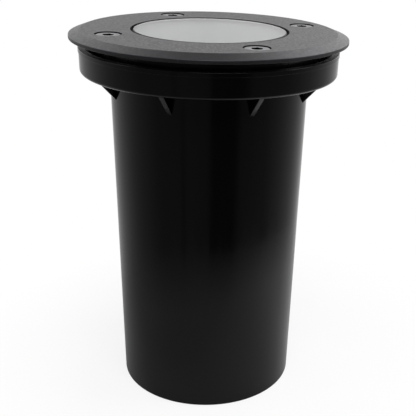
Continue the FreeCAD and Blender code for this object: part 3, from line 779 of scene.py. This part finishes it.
def bezel_screw(number, place, finishes):
    """Low-head screw with a hexagon socket and a rolled thread."""
    node = "bezel_screw_%d" % number
    low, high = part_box(node)
    seat = high.z - SEAT_DEPTH * MM
    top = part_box("bezel_ring")[1].z - HEAD_SINK * MM
    head = (high.x - low.x) / 2
    shank = THREAD_RADIUS * MM
    corner = socket_radius(0)
    rings = socket_rings(top, place)
    side = [(corner / MM, top / MM), (head / MM, top / MM, HEAD_ROUNDING), (head / MM, seat / MM)]
    for radius, z in rounded(side)[1:]:
        rings.append(circle(radius, z, SCREW_CORNERS, place))
    rings.append(circle(shank, seat, SCREW_CORNERS, place))
    rings += reversed(thread(low.z + TIP_CHAMFER * MM, seat - THREAD_RUNOUT * MM, place, shank))
    rings.append(circle(shank - TIP_CHAMFER * MM, low.z, SCREW_CORNERS, place))
    rings.append(circle(0, low.z, SCREW_CORNERS, place))
    piece = joined("bezel_screw_%d_fine" % number, rings)
    smooth(piece)
    names = ["screw_steel", "socket_painted_shade"]
    finish(piece, finishes, names)
    # Walls and point of the socket get the painted shade
    lowest = seat - SOCKET_MARGIN * MM
    highest = top - SOCKET_CHAMFER * MM / 2
    for face in piece.data.polygons:
        reach = (face.center.xy - place.xy).length
        if reach < corner and lowest < face.center.z < highest:
            face.material_index = names.index("socket_painted_shade")
    stand_in(piece, node)


def glass_lens(finishes):
    """Stepped glass: polished top, ground chamfer painted dark as shade, ground sides, etched underside."""
    low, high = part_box("glass_lens")
    foot, top, radius = low.z / MM, high.z / MM, high.x / MM
    shoulder = top - GLASS_RAISE
    piece = lathe("glass_lens_fine", rounded([
        (0, foot),
        (radius - GLASS_CHAMFER, foot),
        (radius, foot + GLASS_CHAMFER),
        (radius, shoulder - GLASS_CHAMFER),
        (radius - GLASS_CHAMFER, shoulder),
        (GLASS_RADIUS, shoulder),
        (GLASS_RADIUS, top - GLASS_CHAMFER),
        (GLASS_RADIUS - GLASS_CHAMFER, top),
        (0, top),
    ]), closed=False)
    smooth(piece)
    names = ["clear_glass", "ground_glass", "etched_glass", "chamfer_painted_shade"]
    finish(piece, finishes, names)
    # Faces by height: etched underside, ground sides, chamfer with painted shade, polished top
    for face in piece.data.polygons:
        if face.center.z < low.z + FOOT_MARGIN * MM:
            face.material_index = names.index("etched_glass")
        elif face.center.z < high.z - GLASS_CHAMFER * MM:
            face.material_index = names.index("ground_glass")
        elif face.center.z < high.z - GLASS_TOP_MARGIN * MM:
            face.material_index = names.index("chamfer_painted_shade")
    stand_in(piece, "glass_lens")


def bezel_gasket(finishes):
    """Gasket whose lip shows as the black line between the glass and the bezel."""
    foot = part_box("bezel_gasket")[0].z / MM
    inner = GLASS_RADIUS + GASKET_GLASS_GAP
    outer = OPENING_RADIUS - GASKET_OPENING_GAP
    lip_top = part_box("bezel_ring")[1].z / MM - GASKET_SINK
    piece = lathe("bezel_gasket_fine", rounded([
        (inner, foot),
        (inner + GASKET_WIDTH, foot, GASKET_ROUNDING),
        (inner + GASKET_WIDTH, foot + GASKET_FLAT),
        (outer, foot + GASKET_FLAT),
        (outer, lip_top, GASKET_ROUNDING),
        (inner, lip_top, GASKET_ROUNDING),
    ]))
    smooth(piece)
    finish(piece, finishes, ["black_rubber"])
    stand_in(piece, "bezel_gasket")


# Table: lengths in metres, angles in degrees
TABLE_RADIUS = 0.19
TABLE_SETBACK = 0.012
TABLE_DROP = 0.0001
TABLE_CORNERS = 96
TABLE_SHADE = 0.93
TABLE_ROUGHNESS = 0.7
# Painted light on the part of the table that the object mirrors: darker in front, brightest behind on the
# right
TABLE_PAINTED_LIGHT_SHADES = (0.30, 0.58)
TABLE_PAINTED_LIGHT_BAND = (-0.07, 0.05)
TABLE_PAINTED_LIGHT_TURN = 40
TABLE_FADE_BAND = (0.115, 0.19)
TABLE_FADE_SHIFT = 0.015
TABLE_GLOW_SHARES = (0.80, 1.0)
TABLE_GLOW_BAND = (0.0675, 0.135)

# Room: (angle, level) round the object. Angle 0 is on the camera's side and 90 on its right
LOWER_LEVELS = (
    (-180, 1.0), (-155, 0.53), (-120, 0.36), (-95, 0.22), (-60, 0.11), (-34, 0.11),
    (-30, 0.07), (-26, 0.11), (0, 0.09), (3, 0.03), (30, 0.03), (38, 0.09),
    (70, 0.12), (95, 0.23), (120, 0.36), (150, 0.62), (180, 1.0),
)
EYE_LEVELS = (
    (-180, 0.75), (-165, 0.92), (-145, 1.35), (-100, 0.36), (-60, 0.25), (0, 0.15),
    (60, 0.25), (100, 0.62), (150, 1.9), (165, 1.12), (180, 0.75),
)
CEILING_LEVEL = 0.02
RAMP_MIDDLE = 0.5

# Where one level blends into the next, as the sine of the elevation
HORIZON_BAND = (-0.12, 0.02)
CEILING_BAND = (0.64, 0.80)

# Softboxes: (name, azimuth, elevation, size, strength)
SOFTBOXES = (
    ("top_softbox", 170, 60, (0.9, 0.9), 4.2),
    ("back_left_softbox", -32, 46, (0.5, 0.5), 0.25),
    ("back_right_softbox", 32, 46, (0.5, 0.5), 0.95),
    ("left_softbox", -95, 30, (0.5, 0.9), 1.3),
    ("right_softbox", 95, 30, (0.5, 0.9), 2.6),
)
SOFTBOX_DISTANCE = 1.2
SOFTBOX_AIM_HEIGHT = 0.09


def studio_direction(azimuth, elevation=0):
    """Direction from the object. Azimuth 0 points away from the camera, 90 to its right."""
    turn = math.radians(CAMERA_TURN - azimuth)
    rise = math.radians(elevation)
    return Vector((-math.sin(turn) * math.cos(rise), math.cos(turn) * math.cos(rise), math.sin(rise)))


def table_finish():
    """Finish that the camera sees white, with the object's shadow.

    What the object mirrors of it is darker and carries painted light, brightest behind on the right, and
    fades towards the rim.
    """
    shader = Shader("table", (TABLE_SHADE,) * 3, TABLE_ROUGHNESS, specular=0.0)
    path = shader.node("ShaderNodeLightPath")
    seen = shader.maths("MAXIMUM", path.outputs["Is Camera Ray"], path.outputs["Is Transmission Ray"])
    place = shader.place()
    distance = shader.node("ShaderNodeVectorMath", operation="DISTANCE")
    shader.link(place, distance.inputs[0])
    distance.inputs[1].default_value = studio_direction(90) * TABLE_FADE_SHIFT
    across = shader.node("ShaderNodeVectorMath", operation="DOT_PRODUCT")
    shader.link(place, across.inputs[0])
    across.inputs[1].default_value = studio_direction(TABLE_PAINTED_LIGHT_TURN)
    # Painted light: the table is darker in front and brightest behind on the right
    painted_light = shader.spread(across.outputs["Value"], *TABLE_PAINTED_LIGHT_SHADES, *TABLE_PAINTED_LIGHT_BAND)
    shade = shader.maths("MAXIMUM", shader.maths("MULTIPLY", seen, TABLE_SHADE), painted_light)
    shader.link(shade, shader.base.inputs["Base Color"])
    share = shader.spread(distance.outputs["Value"], *TABLE_GLOW_SHARES, *TABLE_GLOW_BAND)
    glow = shader.node("ShaderNodeEmission", Strength=1.0)
    mix = shader.node("ShaderNodeMixShader")
    shader.link(shader.maths("MULTIPLY", seen, share), mix.inputs["Fac"])
    shader.link(shader.base.outputs[0], mix.inputs[1])
    shader.link(glow.outputs[0], mix.inputs[2])
    fade = shader.spread(distance.outputs["Value"], 1.0, 0.0, *TABLE_FADE_BAND)
    clear = shader.node("ShaderNodeBsdfTransparent")
    faded = shader.node("ShaderNodeMixShader")
    shader.link(shader.maths("MAXIMUM", seen, fade), faded.inputs["Fac"])
    shader.link(clear.outputs[0], faded.inputs[1])
    shader.link(mix.outputs[0], faded.inputs[2])
    shader.link(faded.outputs[0], shader.tree.nodes["Material Output"].inputs["Surface"])
    return shader.material


def add_table():
    """Round table just under the sleeve's foot, as the plain pale floor."""
    centre = studio_direction(0) * TABLE_SETBACK - Vector((0, 0, TABLE_DROP))
    rim = []
    for corner in range(TABLE_CORNERS):
        rim.append(centre + studio_direction(360 * corner / TABLE_CORNERS) * TABLE_RADIUS)
    mesh = bpy.data.meshes.new("table")
    mesh.from_pydata(rim, [], [tuple(reversed(range(TABLE_CORNERS)))])
    mesh.materials.append(table_finish())
    table = bpy.data.objects.new("table", mesh)
    bpy.context.scene.collection.objects.link(table)


def add_room():
    """White for the camera. The object sees a room, bright behind it and dark in front and overhead."""
    world = bpy.data.worlds.new("room")
    bpy.context.scene.world = world
    world.use_nodes = True
    tree = world.node_tree
    tree.nodes.clear()

    def node(kind, *sources, **values):
        made = tree.nodes.new(kind)
        for name, value in values.items():
            setattr(made, name, value)
        for socket, source in zip(made.inputs, sources):
            if isinstance(source, bpy.types.NodeSocket):
                tree.links.new(source, socket)
            else:
                socket.default_value = source
        return made

    def maths(operation, *sources):
        return node("ShaderNodeMath", *sources, operation=operation).outputs[0]

    def along(direction):
        return node("ShaderNodeVectorMath", toward, direction, operation="DOT_PRODUCT").outputs["Value"]

    def levels_around(levels):
        around = node("ShaderNodeValToRGB", turn_share)
        stops = around.color_ramp.elements
        while len(stops) < len(levels):
            stops.new(RAMP_MIDDLE)
        for stop, (angle, level) in zip(stops, levels):
            stop.position = angle / 360 + RAMP_MIDDLE
            stop.color = (level, level, level, 1)
        return around.outputs["Color"]

    toward = node("ShaderNodeTexCoord").outputs["Generated"]
    front = maths("MULTIPLY", along(studio_direction(0)), -1.0)
    turn = maths("ARCTAN2", along(studio_direction(90)), front)
    turn_share = maths("MULTIPLY_ADD", turn, 1 / FULL_TURN, RAMP_MIDDLE)
    height = along(Vector((0, 0, 1)))
    lower, eye = levels_around(LOWER_LEVELS), levels_around(EYE_LEVELS)
    walls = node("ShaderNodeMapRange", height, *HORIZON_BAND, lower, eye)
    level = node("ShaderNodeMapRange", height, *CEILING_BAND, walls.outputs[0], CEILING_LEVEL)
    path = node("ShaderNodeLightPath")
    seen = maths("MAXIMUM", path.outputs["Is Camera Ray"], path.outputs["Is Transmission Ray"])
    strength = maths("MAXIMUM", seen, level.outputs[0])
    background = node("ShaderNodeBackground", (1, 1, 1, 1), strength)
    node("ShaderNodeOutputWorld", background.outputs[0])


def add_softbox(name, azimuth, elevation, size, strength):
    """Area lamp aimed at the object."""
    direction = studio_direction(azimuth, elevation)
    data = bpy.data.lights.new(name, "AREA")
    data.shape = "RECTANGLE"
    data.size, data.size_y = size
    data.energy = strength * data.size * data.size_y * math.pi
    lamp = bpy.data.objects.new(name, data)
    bpy.context.scene.collection.objects.link(lamp)
    lamp.location = Vector((0, 0, SOFTBOX_AIM_HEIGHT)) + direction * SOFTBOX_DISTANCE
    lamp.rotation_mode = "QUATERNION"
    lamp.rotation_quaternion = direction.to_track_quat("Z", "Y")


add_camera()
add_table()
add_room()
for softbox in SOFTBOXES:
    add_softbox(*softbox)
finishes = finishes_by_slot()
dress(frame["nodes"], finishes)
places = screw_places()
mounting_sleeve(finishes)
bezel_ring(places, finishes)
for number, place in enumerate(places, 1):
    bezel_screw(number, place, finishes)
glass_lens(finishes)
bezel_gasket(finishes)

bpy.context.scene.view_settings.view_transform = "Standard"
